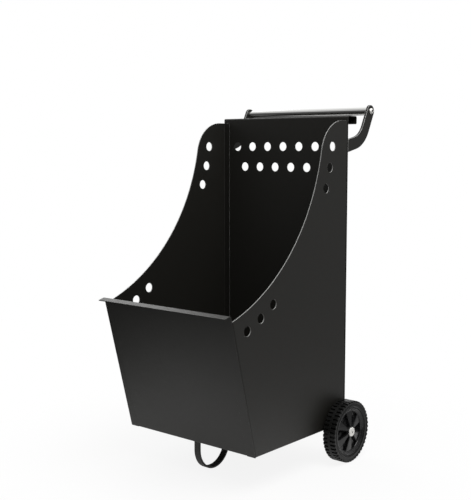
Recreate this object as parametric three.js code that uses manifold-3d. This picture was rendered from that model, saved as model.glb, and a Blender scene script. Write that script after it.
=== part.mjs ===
// Fireside log cart: a folded sheet-steel bin with scooped sides, carried on an axle with two
// spoked wheels and on a strap foot, and pulled by a polished bar held between two curved arms.
// Lengths are millimetres. Z is up, the low front faces -Y and the handle is at +Y. Left and
// right are as seen from the front, so the right side is +X.

import * as THREE from 'three';
import { mergeGeometries, mergeVertices } from 'three/addons/utils/BufferGeometryUtils.js';
import Module from 'manifold-3d';

const wasm = await Module();
wasm.setup();

const degree = Math.PI / 180;
const fullTurn = 2 * Math.PI;

// ---- Driving dimensions -------------------------------------------------------------------

const fit = 0.3; // gap between two pieces that seat on each other
const chordSag = 0.25; // how far the chords of a fold may lie inside its arc

// Sheet steel and its folds
const sheet = 2;
const foldRadius = 2; // inside
const bottomRim = 20; // folded in along the bottom of all four walls
const cornerRelief = 4; // between the ends of two rims that meet in a corner

// Front panel
const binWidth = 400;
const binDepth = 360; // along the bottom edge
const frontLean = 14.45 * degree;
const frontHeight = 336;
const lipLength = 20;

// Back panel and the rail folded along its top
const backHeight = 772;
const railDepth = 39.5;
const railDrop = 20;
const railHem = 12;
const backHoleRadius = 11.5;
const backHolePitch = 50.9;
const topRowDrop = 74.8; // from the top edge to the first row of holes
const rowSpacing = 53.2;
const topRowHoles = 7;

// Side panels
const sideTopDrop = 12; // below the back panel's top
const sideTopFlat = 25; // level part of the top edge
const sideTopRadius = 88;
const scoopRadius = 480;
const scoopEndDrop = 15.4; // below the front panel's top
const sideHoleRadius = 11.5;
const sideHoleInset = 43; // from the scooped edge to the holes' ring
const sideHolePitch = 52; // round the ring
const sideHolesInGroup = 3;
const upperHolesLead = 17; // round the ring, from the scoop's upper end back to the first hole
const lowerHolesMargin = 44; // round the ring, from the last hole to the scoop's lower end

// Handle
const armThickness = 6;
const armWidth = 31;
const armRootDrop = 73.4; // below the back panel's top
const armRootRise = 12.35 * degree;
const armTipRise = 63.4 * degree;
const armBendRadius = 68; // of the arm's middle line
const barReach = 102.5; // from the back panel to the bar's axis
const barLift = 14; // of the bar's axis above the back panel
const barRadius = 10;
const barWall = 1.5;
const insertLength = 24;
const screwRadius = 4;
const screwGrip = 18; // shank inside the bar
const screwHeadRadius = 7.5;
const screwHeadHeight = 4.4;
const socketAcrossFlats = 5;
const socketDepth = 2.4;

// Axle
const axleRadius = 6;
const axleTubeWall = 2.2;
const axleTubeOverhang = 2; // past each side panel
const axleFromBack = 29.3;
const washerRadius = 10.5;
const washerThickness = 1.5;
const capRadius = 11.5;
const capHeight = 4.2;
const capEdge = 1.2;
const capSocketDepth = 2.4;

// Wheels. Distances along the axle are measured from the wheel's middle plane.
const wheelRadius = 77;
const tyreWidth = 34.4; // over the lugs
const lugOverhang = 1.1; // of the lugs past the sidewalls
const lugSide = 4.5; // from the tread down to where the lugs' sides end
const lugEdge = 1.4; // slanted off between the tread and the lugs' sides
const bulgeRise = 4; // above the rim's flanges
const lugCount = 45; // in each of the two rows
const grooveWidth = 3.4;
const grooveDepth = 4;
const centreRib = 3; // uncut half width of the tread
const flangeRadius = 60;
const flangeThickness = 2.2;
const flangeStep = 3.1; // inside the lugs' sides
const seatDrop = 4; // of the tyre's seat below the flanges
const channelOuter = 55;
const channelInner = 50.5;
const channelDepth = 3.5;
const channelDraft = 1;
const lipStep = 1.2; // of the rim's inner lip below the flange
const rimInner = 46;
const hubRadius = 14;
const hubBack = 19.8;
const hubFront = 14.2;
const hubNose = 13; // radius of the hub's front end, where the spokes' cone begins
const webFront = 3; // where the cone ends, at the rim
const webThickness = 4;
const spokeCount = 6;
const pocketHalfAngle = 15 * degree;
const pocketMargin = 1.2; // from the hub's nose and from the rim
const pocketDepth = 7; // at the rim, behind the spokes' front
const pocketWall = 2;
const pocketFloor = 1.5;

// Foot, bent from flat bar
const strapWidth = 17;
const strapThickness = 5;
const strapRadius = 55.45; // outside of the loop
const strapFoldRadius = 3;
const strapTab = 20;
const strapFromRim = 3.85; // behind the front panel's bottom rim
const boltRadius = 2.5;
const boltFromTabEnd = 6;
const boltHeadRadius = 5.5;
const boltHeadHeight = 2.8;
const boltHeadEdge = 0.6;
const boltTail = 1.5; // standing below the nut
const nutAcrossFlats = 8;
const nutHeight = 4;

// Facets of the round pieces
const wheelSides = 30;
const roundSides = 16;
const holeSides = 18;

// ---- Worked-out places --------------------------------------------------------------------
// In the cart, Y = 0 is the back panel's rear face and Z = 0 is the bin's bottom.

const halfWidth = binWidth / 2;
const sideHeight = backHeight - sideTopDrop;
const axleTubeRadius = axleRadius + fit + axleTubeWall;
const axleZ = -(axleTubeRadius + fit);
const groundZ = axleZ - wheelRadius;
const axleTubeHalf = halfWidth + axleTubeOverhang;
const innerWasherX = axleTubeHalf + fit;
const wheelX = innerWasherX + washerThickness + fit + hubBack;
const outerWasherX = wheelX + hubFront + fit;
const capX = outerWasherX + washerThickness + fit;
const floorBottom = sheet + fit;
const floorTop = floorBottom + sheet;
const barHalf = halfWidth - armThickness - fit;
const barZ = backHeight + barLift;
const strapTop = floorBottom - fit;
const strapY = -binDepth + bottomRim + strapFromRim + strapRadius;
const boltOffset = strapRadius - strapTab + boltFromTabEnd;

// The front panel's outer face leans forward, and `inside` is measured square to it.
const frontY = (z, inside = 0) =>
  -(binDepth + z * Math.tan(frontLean)) + inside / Math.cos(frontLean);

// ---- Materials ----------------------------------------------------------------------------

const finish = (color, roughness, metalness) =>
  new THREE.MeshStandardMaterial({ color, roughness, metalness });
const powderCoat = finish(0x2b2b2b, 0.55, 0);
const polishedSteel = finish(0xd8d8d6, 0.12, 1);
const zincSteel = finish(0xb9bcbe, 0.35, 1);
const rimPlastic = finish(0x1c1c1c, 0.3, 0);
const tyreRubber = finish(0x232323, 0.6, 0);

// ---- Geometry helpers ---------------------------------------------------------------------

const xAxis = new THREE.Vector3(1, 0, 0);
const yAxis = new THREE.Vector3(0, 1, 0);
const zAxis = new THREE.Vector3(0, 0, 1);
const extrusionAlongX = new THREE.Matrix4().makeBasis(yAxis, zAxis, xAxis);
const turnedAboutX = new THREE.Matrix4().makeBasis(yAxis, xAxis, zAxis.clone().negate());

// A side view drawn as (y, z), made solid from x0 to x1. A bevel rounds both ends, and `inset`
// moves it inwards.
function extrudeX(shape, x0, x1, { bevel = 0, inset = 0, curveSegments = holeSides / 2 } = {}) {
  const geometry = new THREE.ExtrudeGeometry(shape, {
    depth: x1 - x0 - 2 * bevel,
    bevelEnabled: bevel > 0,
    bevelThickness: bevel,
    bevelSize: bevel,
    bevelOffset: -inset,
    bevelSegments: 3,
    curveSegments,
  });
  return geometry.translate(0, 0, x0 + bevel).applyMatrix4(extrusionAlongX);
}

function extrudeZ(shape, z0, z1) {
  const options = { depth: z1 - z0, bevelEnabled: false, curveSegments: roundSides / 2 };
  return new THREE.ExtrudeGeometry(shape, options).translate(0, 0, z0);
}

// A section of [radius, height] points turned about an upright axis. It is listed so that its
// outside runs upwards, and it starts and ends on the axis or closes on itself.
function turnZ(section, sides) {
  const points = section.map(([radius, height]) => new THREE.Vector2(radius, height));
  return new THREE.LatheGeometry(points, sides).rotateX(Math.PI / 2);
}

// The same about the X axis, with the outside running towards +X.
function turnX(section, sides) {
  const points = section.map(([radius, x]) => new THREE.Vector2(radius, x));
  return new THREE.LatheGeometry(points, sides).applyMatrix4(turnedAboutX);
}

function ring(outer, inner, x0, x1, sides) {
  return turnX([[inner, x0], [outer, x0], [outer, x1], [inner, x1], [inner, x0]], sides);
}

// The outline of a dome, from its edge at `base` to the axis.
function dome(radius, base, height, steps) {
  const sphere = (radius ** 2 + height ** 2) / (2 * height);
  const widest = Math.asin(radius / sphere);
  const point = (_, i) => {
    const angle = widest * (1 - i / steps);
    return [sphere * Math.sin(angle), base + height - sphere * (1 - Math.cos(angle))];
  };
  return Array.from({ length: steps + 1 }, point);
}

function hexagon(acrossFlats) {
  const radius = acrossFlats / Math.sqrt(3);
  const corner = (_, i) => {
    const angle = (i * fullTurn) / 6;
    return new THREE.Vector2(radius * Math.cos(angle), radius * Math.sin(angle));
  };
  return new THREE.Shape(Array.from({ length: 6 }, corner));
}

function roundHole(x, y, radius) {
  return new THREE.Path().absarc(x, y, radius, 0, fullTurn, false);
}

// Joins equal corners, and drops the triangles that this leaves without an area.
function welded(geometry) {
  const bare = geometry.clone();
  bare.deleteAttribute('normal');
  bare.deleteAttribute('uv');
  const merged = mergeVertices(bare, 1e-4);
  const corners = merged.index.array;
  const kept = [];
  for (let i = 0; i < corners.length; i += 3) {
    const [a, b, c] = corners.slice(i, i + 3);
    if (a !== b && b !== c && c !== a) kept.push(a, b, c);
  }
  merged.setIndex(kept);
  return merged;
}

function solid(geometry) {
  const mesh = welded(geometry);
  return new wasm.Manifold(new wasm.Mesh({
    numProp: 3,
    vertProperties: new Float32Array(mesh.attributes.position.array),
    triVerts: new Uint32Array(mesh.index.array),
  }));
}

function geometryOf(manifold) {
  const { vertProperties, triVerts } = manifold.getMesh();
  const geometry = new THREE.BufferGeometry();
  const positions = new Float32Array(vertProperties);
  geometry.setAttribute('position', new THREE.BufferAttribute(positions, 3));
  geometry.setIndex(Array.from(triVerts));
  return geometry;
}

// The same piece for the other side: x changes its sign and every triangle is turned over.
function mirrored(geometry) {
  const copy = welded(geometry).scale(-1, 1, 1);
  const corners = Array.from(copy.index.array);
  for (let i = 0; i < corners.length; i += 3) {
    [corners[i + 1], corners[i + 2]] = [corners[i + 2], corners[i + 1]];
  }
  copy.setIndex(corners);
  return copy;
}

// The section of a bent strip. Its line is one face and the other lies `thickness` to the
// left of it. Each corner of the line is bent round to its inside radius.
function bentStrip(line, insideRadii, thickness) {
  const points = line.map(([y, z]) => new THREE.Vector2(y, z));
  const last = points.length - 1;
  const heading = (i) => points[i + 1].clone().sub(points[i]).normalize();
  const leftOf = (v) => new THREE.Vector2(-v.y, v.x);
  const near = [points[0]];
  const far = [points[0].clone().addScaledVector(leftOf(heading(0)), thickness)];
  for (let i = 1; i < last; i += 1) {
    const before = heading(i - 1);
    const after = heading(i);
    const turn = Math.atan2(before.cross(after), before.dot(after));
    const side = Math.sign(turn);
    const nearRadius = insideRadii[i - 1] + (side > 0 ? thickness : 0);
    const farRadius = nearRadius - side * thickness;
    const setback = nearRadius * Math.tan(Math.abs(turn) / 2);
    const start = points[i].clone().addScaledVector(before, -setback);
    const toCentre = leftOf(before).multiplyScalar(side);
    const centre = start.addScaledVector(toCentre, nearRadius);
    const stepAngle = Math.sqrt((8 * chordSag) / Math.max(nearRadius, farRadius));
    const steps = Math.ceil(Math.abs(turn) / stepAngle);
    for (let step = 0; step <= steps; step += 1) {
      const ray = toCentre.clone().negate();
      ray.rotateAround(new THREE.Vector2(), (turn * step) / steps);
      near.push(centre.clone().addScaledVector(ray, nearRadius));
      far.push(centre.clone().addScaledVector(ray, farRadius));
    }
  }
  near.push(points[last]);
  far.push(points[last].clone().addScaledVector(leftOf(heading(last - 1)), thickness));
  return new THREE.Shape([...near, ...far.reverse()]);
}

// Where a circle round a meets one round b, taken on the left of the way from a to b.
function circlesMeet(a, radiusA, b, radiusB) {
  const along = b.clone().sub(a);
  const distance = along.length();
  along.divideScalar(distance);
  const across = new THREE.Vector2(-along.y, along.x);
  const reach = (distance ** 2 + radiusA ** 2 - radiusB ** 2) / (2 * distance);
  const height = Math.sqrt(radiusA ** 2 - reach ** 2);
  return a.clone().addScaledVector(along, reach).addScaledVector(across, height);
}

// ---- Bin ----------------------------------------------------------------------------------

// A side's top edge runs level, rounds over, and swings forward in one long scoop.
const shoulder = new THREE.Vector2(-sideTopFlat, sideHeight - sideTopRadius);
const scoopEndZ = frontHeight - scoopEndDrop;
const scoopEnd = new THREE.Vector2(frontY(scoopEndZ), scoopEndZ);
const scoop = circlesMeet(scoopEnd, scoopRadius, shoulder, sideTopRadius + scoopRadius);
const scoopFrom = shoulder.clone().sub(scoop).angle() - fullTurn;
const scoopTo = scoopEnd.clone().sub(scoop).angle() - fullTurn;

function sideHoles() {
  const ringRadius = scoopRadius + sideHoleInset;
  const pitch = sideHolePitch / ringRadius;
  const upper = scoopFrom + upperHolesLead / ringRadius;
  const lower = scoopTo + lowerHolesMargin / ringRadius;
  const holes = [];
  for (let i = 0; i < sideHolesInGroup; i += 1) {
    for (const angle of [upper - i * pitch, lower + i * pitch]) {
      const y = scoop.x + ringRadius * Math.cos(angle);
      const z = scoop.y + ringRadius * Math.sin(angle);
      holes.push(roundHole(y, z, sideHoleRadius));
    }
  }
  return holes;
}

// The side is a tray with its rims folded in along the rear, the bottom and the front, their
// corners welded. The tray is made higher than the side and trimmed to the scooped edge.
function sidePanel() {
  const inside = sheet + fit;
  const trayTop = sideHeight + bottomRim;
  const tray = new THREE.Shape([
    new THREE.Vector2(-inside, 0),
    new THREE.Vector2(-inside, trayTop),
    new THREE.Vector2(frontY(trayTop, inside), trayTop),
    new THREE.Vector2(frontY(0, inside), 0),
  ]);
  const rimX = halfWidth - bottomRim;
  const outsideRadius = foldRadius + sheet;
  const outer = extrudeX(tray, rimX - bottomRim, halfWidth, {
    bevel: outsideRadius,
    inset: outsideRadius,
  });
  const hollow = extrudeX(tray, rimX - 2 * bottomRim, halfWidth - sheet, {
    bevel: foldRadius,
    inset: outsideRadius,
  });

  const trim = new THREE.Shape();
  trim.moveTo(0, -sheet);
  trim.lineTo(0, sideHeight);
  trim.lineTo(shoulder.x, sideHeight);
  trim.absarc(shoulder.x, shoulder.y, sideTopRadius, Math.PI / 2, scoopFrom + Math.PI, false);
  trim.absarc(scoop.x, scoop.y, scoopRadius, scoopFrom, scoopTo, true);
  trim.lineTo(scoopEnd.x, -sheet);
  trim.holes = sideHoles();
  const kept = extrudeX(trim, rimX, halfWidth + sheet);
  return geometryOf(solid(outer).subtract(solid(hollow)).intersect(solid(kept)));
}

// A panel across the bin. Between the rims of the two sides it has a bottom rim of its own,
// and at its two ends the sheet runs straight down past theirs.
function acrossPanel(rim, plain) {
  const rimHalf = halfWidth - bottomRim - cornerRelief;
  const section = (line) => bentStrip(line, line.slice(2).map(() => foldRadius), sheet);
  const middle = extrudeX(section(rim), -rimHalf, rimHalf);
  const end = extrudeX(section(plain), rimHalf, halfWidth);
  return solid(middle).add(solid(end)).add(solid(mirrored(end)));
}

// The front leans forward, and its top is folded outwards into a lip square to the panel.
function frontPanel() {
  const cutZ = sheet * Math.sin(frontLean);
  const top = [frontY(frontHeight, sheet), frontHeight];
  const tip = [
    top[0] - lipLength * Math.cos(frontLean),
    top[1] - lipLength * Math.sin(frontLean),
  ];
  const rimEnd = [bottomRim - binDepth, sheet];
  const corner = [frontY(sheet, sheet), sheet];
  const panel = acrossPanel([rimEnd, corner, top, tip], [[frontY(cutZ, sheet), cutZ], top, tip]);
  return geometryOf(panel);
}

// The back stands upright. Its top is folded back, down and in again to make an open rail.
function backPanel() {
  const railY = railDepth - sheet;
  const rail = [
    [railY - railHem, backHeight - railDrop],
    [railY, backHeight - railDrop],
    [railY, backHeight],
    [-sheet, backHeight],
  ];
  let panel = acrossPanel([...rail, [-sheet, sheet], [-bottomRim, sheet]], [...rail, [-sheet, 0]]);
  for (let row = 0; row < 2; row += 1) {
    const count = topRowHoles - row;
    const z = backHeight - topRowDrop - row * rowSpacing;
    for (let i = 0; i < count; i += 1) {
      const x = (i - (count - 1) / 2) * backHolePitch;
      const drill = new THREE.CylinderGeometry(backHoleRadius, backHoleRadius, 3 * sheet, holeSides);
      panel = panel.subtract(solid(drill.translate(x, -sheet / 2, z)));
    }
  }
  return geometryOf(panel);
}

// The floor lies on the four bottom rims.
function floorPanel() {
  const halfX = halfWidth - sheet - foldRadius - fit;
  const frontEdge = frontY(floorBottom, 2 * (sheet + fit));
  const rearEdge = -2 * (sheet + fit);
  const shape = new THREE.Shape([
    new THREE.Vector2(-halfX, frontEdge),
    new THREE.Vector2(halfX, frontEdge),
    new THREE.Vector2(halfX, rearEdge),
    new THREE.Vector2(-halfX, rearEdge),
  ]);
  for (const side of [-1, 1]) {
    shape.holes.push(roundHole(0, strapY + side * boltOffset, boltRadius + fit));
  }
  return extrudeZ(shape, floorBottom, floorTop);
}

// ---- Handle -------------------------------------------------------------------------------

// Each arm leaves the back panel low, bends upwards and ends round about the bar's axis.
function handleArm() {
  const half = armWidth / 2;
  const root = new THREE.Vector2(0, backHeight - armRootDrop);
  const tip = new THREE.Vector2(barReach, barZ);
  const rootWay = new THREE.Vector2(Math.cos(armRootRise), Math.sin(armRootRise));
  const tipWay = new THREE.Vector2(Math.cos(armTipRise), Math.sin(armTipRise));
  const reach = tip.clone().sub(root).cross(tipWay) / rootWay.cross(tipWay);
  const setback = armBendRadius * Math.tan((armTipRise - armRootRise) / 2);
  const bend = root.clone().addScaledVector(rootWay, reach - setback);
  bend.add(new THREE.Vector2(-rootWay.y, rootWay.x).multiplyScalar(armBendRadius));
  const quarter = Math.PI / 2;
  const rootZ = root.y + fit * Math.tan(armRootRise);
  const rootHalf = half / Math.cos(armRootRise);

  const shape = new THREE.Shape();
  shape.moveTo(fit, rootZ - rootHalf);
  shape.absarc(bend.x, bend.y, armBendRadius + half, armRootRise - quarter, armTipRise - quarter, false);
  shape.absarc(tip.x, tip.y, half, armTipRise - quarter, armTipRise + quarter, false);
  shape.absarc(bend.x, bend.y, armBendRadius - half, armTipRise - quarter, armRootRise - quarter, true);
  shape.lineTo(fit, rootZ + rootHalf);
  shape.holes.push(roundHole(tip.x, tip.y, screwRadius + fit));
  return extrudeX(shape, halfWidth - armThickness, halfWidth, { curveSegments: roundSides / 2 });
}

const insertRadius = barRadius - barWall - fit;
const insertStart = barHalf - insertLength;
const insertBottom = barHalf - screwGrip - 2 * fit;
const insertBore = screwRadius + fit;
const insertSection = [
  [0, insertStart],
  [insertRadius, insertStart],
  [insertRadius, barHalf],
  [insertBore, barHalf],
  [insertBore, insertBottom],
  [0, insertBottom],
];

function handleScrew() {
  const seat = halfWidth + fit;
  const edge = screwHeadHeight / 4;
  const tail = barHalf - screwGrip;
  const section = [
    [0, tail],
    [screwRadius, tail],
    [screwRadius, seat],
    [screwHeadRadius, seat],
    ...dome(screwHeadRadius, seat + edge, screwHeadHeight - edge, 4),
  ];
  const top = seat + screwHeadHeight;
  const socket = extrudeX(hexagon(socketAcrossFlats), top - socketDepth, top + socketDepth);
  return geometryOf(solid(turnX(section, roundSides)).subtract(solid(socket)));
}

// ---- Axle and wheels ----------------------------------------------------------------------

const axleBore = axleRadius + fit;

const capSection = [
  [0, capX + capSocketDepth],
  [axleBore, capX + capSocketDepth],
  [axleBore, capX],
  [capRadius, capX],
  ...dome(capRadius, capX + capEdge, capHeight - capEdge, 4),
];

// The space between two spokes, widened all round by `grow`.
function pocketShape(middle, grow) {
  const inner = hubNose + pocketMargin - grow;
  const outer = rimInner - pocketMargin + grow;
  const edge = (radius) => pocketHalfAngle + Math.asin(grow / radius);
  const shape = new THREE.Shape();
  shape.absarc(0, 0, outer, middle - edge(outer), middle + edge(outer), false);
  shape.absarc(0, 0, inner, middle + edge(inner), middle - edge(inner), true);
  return shape;
}

// The rim is one moulding: a long hub, a cone of six wedge spokes with a deep blind pocket
// between each two, and a stepped ring whose two flanges hold the tyre.
function wheelRim() {
  const flange = tyreWidth / 2 - flangeStep;
  const seat = flange - flangeThickness;
  const seatRadius = flangeRadius - seatDrop;
  const lip = flange - lipStep;
  const section = [
    [axleBore, -hubBack],
    [hubRadius, -hubBack],
    [hubRadius, hubFront - webThickness],
    [rimInner, webFront - webThickness],
    [rimInner + channelDraft, -flange],
    [flangeRadius, -flange],
    [flangeRadius, -seat],
    [seatRadius, -seat],
    [seatRadius, seat],
    [flangeRadius, seat],
    [flangeRadius, flange],
    [channelOuter + channelDraft, flange],
    [channelOuter, flange - channelDepth],
    [channelInner, flange - channelDepth],
    [channelInner - channelDraft, lip],
    [rimInner, lip],
    [rimInner, webFront],
    [hubNose, hubFront],
    [axleBore, hubFront],
    [axleBore, -hubBack],
  ];
  const pocketCurve = { curveSegments: 4 };
  const bottom = webFront - pocketDepth;
  const middles = Array.from({ length: spokeCount }, (_, i) => (i * fullTurn) / spokeCount);
  const core = [[0, -flange], [seatRadius, -flange], [seatRadius, webFront]];
  const cone = solid(turnX([...core, [rimInner, webFront], [hubNose, hubFront], [0, hubFront]], wheelSides));
  let rim = solid(turnX(section, wheelSides));
  for (const middle of middles) {
    const cup = extrudeX(pocketShape(middle, pocketWall), bottom - pocketFloor, hubFront, pocketCurve);
    rim = rim.add(solid(cup).intersect(cone));
  }
  for (const middle of middles) {
    rim = rim.subtract(solid(extrudeX(pocketShape(middle, 0), bottom, hubFront, pocketCurve)));
  }
  return geometryOf(rim);
}

// The tyre's tread is as wide as its square shoulders, which stand past the sidewalls. Straight
// grooves cut it from both sides, the two rows half a pitch apart, and leave a rib that zigzags
// between them.
function tyre() {
  const half = tyreWidth / 2;
  const flange = half - flangeStep + fit;
  const seat = half - flangeStep - flangeThickness - fit;
  const side = [
    [flangeRadius - seatDrop + fit, seat],
    [flangeRadius + fit, seat],
    [flangeRadius + fit, flange],
    [flangeRadius + bulgeRise, half - lugOverhang],
    [wheelRadius - lugSide - lugOverhang, half - lugOverhang],
    [wheelRadius - lugSide, half],
    [wheelRadius - lugEdge, half],
    [wheelRadius, half - lugEdge],
  ];
  const otherSide = side.map(([radius, x]) => [radius, -x]);
  const section = [...otherSide, ...side.reverse(), otherSide[0]];

  const pitch = fullTurn / lugCount;
  const length = half - centreRib + fit;
  const grooves = [];
  for (let i = 0; i < lugCount; i += 1) {
    for (const row of [-1, 1]) {
      const groove = new THREE.BoxGeometry(length, grooveWidth, 2 * grooveDepth);
      groove.translate(row * (centreRib + length / 2), 0, wheelRadius);
      grooves.push(groove.rotateX((i + row / 4) * pitch));
    }
  }
  return geometryOf(solid(turnX(section, lugCount)).subtract(solid(mergeGeometries(grooves))));
}

// ---- Foot ---------------------------------------------------------------------------------

// One strap bent to a U that stands on the ground, its ends turned in and bolted to the floor.
function footStrap() {
  const insideRadius = strapRadius - strapThickness;
  const front = strapY - strapRadius;
  const rear = strapY + strapRadius;
  const line = [
    [front + strapTab, strapTop],
    [front, strapTop],
    [front, groundZ],
    [rear, groundZ],
    [rear, strapTop],
    [rear - strapTab, strapTop],
  ];
  const radii = [strapFoldRadius, insideRadius, insideRadius, strapFoldRadius];
  const section = bentStrip(line, radii, strapThickness);
  let strap = solid(extrudeX(section, -strapWidth / 2, strapWidth / 2));
  for (const side of [-1, 1]) {
    const radius = boltRadius + fit;
    const drill = new THREE.CylinderGeometry(radius, radius, 2 * strapThickness, roundSides);
    drill.rotateX(Math.PI / 2).translate(0, strapY + side * boltOffset, strapTop);
    strap = strap.subtract(solid(drill));
  }
  return geometryOf(strap);
}

const nutTop = strapTop - strapThickness - fit;
const boltSeat = floorTop + fit;
const boltEnd = nutTop - nutHeight - boltTail;
const boltSection = [
  [0, boltEnd],
  [boltRadius, boltEnd],
  [boltRadius, boltSeat],
  [boltHeadRadius, boltSeat],
  ...dome(boltHeadRadius, boltSeat + boltHeadEdge, boltHeadHeight - boltHeadEdge, 3),
];
const nutShape = hexagon(nutAcrossFlats);
nutShape.holes.push(roundHole(0, 0, boltRadius + fit));

// ---- The cart -----------------------------------------------------------------------------

function addMesh(parent, name, geometry, material, y = 0) {
  const mesh = new THREE.Mesh(geometry, material);
  mesh.name = name;
  mesh.position.y = y;
  parent.add(mesh);
  return mesh;
}

const cart = new THREE.Group();
addMesh(cart, 'back_panel', backPanel(), powderCoat);
addMesh(cart, 'front_panel', frontPanel(), powderCoat);
addMesh(cart, 'floor_panel', floorPanel(), powderCoat);
const rightSide = sidePanel();
addMesh(cart, 'side_panel_right', rightSide, powderCoat);
addMesh(cart, 'side_panel_left', mirrored(rightSide), powderCoat);
const rightArm = handleArm();
addMesh(cart, 'handle_arm_right', rightArm, powderCoat);
addMesh(cart, 'handle_arm_left', mirrored(rightArm), powderCoat);

const bar = addMesh(
  cart,
  'handle_bar',
  ring(barRadius, barRadius - barWall, -barHalf, barHalf, wheelSides),
  polishedSteel,
);
bar.position.set(0, barReach, barZ);

const tube = addMesh(
  cart,
  'axle_tube',
  ring(axleTubeRadius, axleBore, -axleTubeHalf, axleTubeHalf, roundSides),
  powderCoat,
);
tube.position.set(0, -axleFromBack, axleZ);
const rodHalf = capX + capSocketDepth - fit;
const rodSection = [[0, -rodHalf], [axleRadius, -rodHalf], [axleRadius, rodHalf], [0, rodHalf]];
const rod = addMesh(cart, 'axle_rod', turnX(rodSection, roundSides), zincSteel);
rod.position.copy(tube.position);

addMesh(cart, 'foot_strap', footStrap(), powderCoat);
for (const [name, side] of [['front', -1], ['rear', 1]]) {
  const y = strapY + side * boltOffset;
  addMesh(cart, `foot_bolt_${name}`, turnZ(boltSection, roundSides), zincSteel, y);
  addMesh(cart, `foot_nut_${name}`, extrudeZ(nutShape, nutTop - nutHeight, nutTop), zincSteel, y);
}

// What is threaded on each end of the bar and of the axle is the same, turned half round.
const insert = turnX(insertSection, roundSides);
const screw = handleScrew();
const rim = wheelRim();
const tread = tyre();
const innerWasher = ring(washerRadius, axleBore, innerWasherX, innerWasherX + washerThickness, roundSides);
const outerWasher = ring(washerRadius, axleBore, outerWasherX, outerWasherX + washerThickness, roundSides);
const cap = turnX(capSection, roundSides);
for (const [name, turn] of [['right', 0], ['left', Math.PI]]) {
  const barEnd = new THREE.Group();
  barEnd.position.copy(bar.position);
  barEnd.rotation.z = turn;
  addMesh(barEnd, `handle_insert_${name}`, insert, zincSteel);
  addMesh(barEnd, `handle_screw_${name}`, screw, zincSteel);

  const axleEnd = new THREE.Group();
  axleEnd.position.copy(tube.position);
  axleEnd.rotation.z = turn;
  addMesh(axleEnd, `inner_washer_${name}`, innerWasher, zincSteel);
  addMesh(axleEnd, `outer_washer_${name}`, outerWasher, zincSteel);
  addMesh(axleEnd, `hub_cap_${name}`, cap, polishedSteel);
  addMesh(axleEnd, `wheel_rim_${name}`, rim, rimPlastic).position.x = wheelX;
  addMesh(axleEnd, `tyre_${name}`, tread, tyreRubber).position.x = wheelX;
  cart.add(barEnd, axleEnd);
}

// The cart stands on Z = 0 with the middle of its outline over the origin.
const bounds = new THREE.Box3().setFromObject(cart);
const middle = bounds.getCenter(new THREE.Vector3());
cart.position.set(-middle.x, -middle.y, -bounds.min.z);

const group = new THREE.Group();
group.add(cart);

export default group;
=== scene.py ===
import bmesh
import bpy
import numpy as np
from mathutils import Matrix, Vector


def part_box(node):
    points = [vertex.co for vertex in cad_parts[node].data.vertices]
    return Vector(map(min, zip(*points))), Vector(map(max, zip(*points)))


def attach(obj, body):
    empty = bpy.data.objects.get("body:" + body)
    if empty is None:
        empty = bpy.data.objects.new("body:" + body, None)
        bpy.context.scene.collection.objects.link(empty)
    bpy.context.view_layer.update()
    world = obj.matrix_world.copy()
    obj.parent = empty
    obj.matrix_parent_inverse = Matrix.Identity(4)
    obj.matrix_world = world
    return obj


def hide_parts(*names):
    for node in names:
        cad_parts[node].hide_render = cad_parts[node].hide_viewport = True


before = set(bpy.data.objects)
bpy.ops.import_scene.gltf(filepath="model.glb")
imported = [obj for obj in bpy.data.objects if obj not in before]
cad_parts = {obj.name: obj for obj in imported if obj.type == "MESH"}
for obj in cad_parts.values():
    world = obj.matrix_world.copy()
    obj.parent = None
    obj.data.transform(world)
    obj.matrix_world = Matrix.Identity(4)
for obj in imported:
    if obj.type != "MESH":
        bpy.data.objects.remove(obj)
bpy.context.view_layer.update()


# ---- Side panels ----------------------------------------------------------------------------
# Two trays of 2 mm sheet steel, powder coated. The rear, bottom and front rims are folded in and
# welded at the corners, the top edge is cut to a rounded shoulder and a long scoop, and six
# holes are punched along the scoop.
MM = 0.001
SAME_POINT = 1e-6  # points nearer than this are one
SHEET = 2.0
FOLD = 2.0  # inside radius of a fold
FIT = 0.3  # gap between two pieces that touch
RAIL_DEPTH = 39.5  # from the back panel's front face
HALF_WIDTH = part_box("side_panel_right")[1].x / MM
LEAN = np.radians(14.45)  # of the front, from upright
DEPTH = 360.0  # of the bin, along its bottom
BACK_HEIGHT = 772.0
FRONT_HEIGHT = 336.0
RIM = 20.0  # folded in along the bottoms and the sides' ends
SIDE_HEIGHT = BACK_HEIGHT - 12.0  # the rail stands higher than the sides
SHOULDER_RADIUS = 88.0
SHOULDER = np.array((-25.0, SIDE_HEIGHT - SHOULDER_RADIUS))  # its centre
SCOOP_RADIUS = 480.0
SCOOP_END_Z = FRONT_HEIGHT - 15.4  # where the scoop runs out at the front
HOLE_RING = SCOOP_RADIUS + 43.0  # the side holes lie on this circle round the scoop's centre
UPPER_HOLE = 17.0  # along that circle, above the scoop's upper end
LOWER_HOLE = 44.0  # and above its lower end
SIDE_HOLE_PITCH = 52.0
HOLES_AT_EACH_END = 3
HOLE_RADIUS = 11.5
HOLE_SIDES = 56
FOLD_STEPS = 7
SHOULDER_STEPS = 40
SCOOP_STEPS = 110
WASTE_BACK, WASTE_FRONT, WASTE_TOP = 10.0, -600.0, 900.0  # the waste reaches past the trays
EDGE = 0.4  # rounding that the coat gives a cut edge
BACK_LOW, BACK_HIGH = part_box("back_panel")
# The bin's rear bottom edge. All millimetres below are measured from it.
CART = np.array((0.0, BACK_HIGH.y / MM - RAIL_DEPTH + SHEET, BACK_LOW.z / MM))


def linear(code):
    """sRGB hex to linear: a channel c becomes c / 12.92 below 0.04045, and above it
    ((c + 0.055) / 1.055) to the power of 2.4."""
    c = np.array([int(code[i : i + 2], 16) / 255 for i in (1, 3, 5)])
    return (*np.where(c < 0.04045, c / 12.92, ((c + 0.055) / 1.055) ** 2.4), 1.0)


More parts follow.
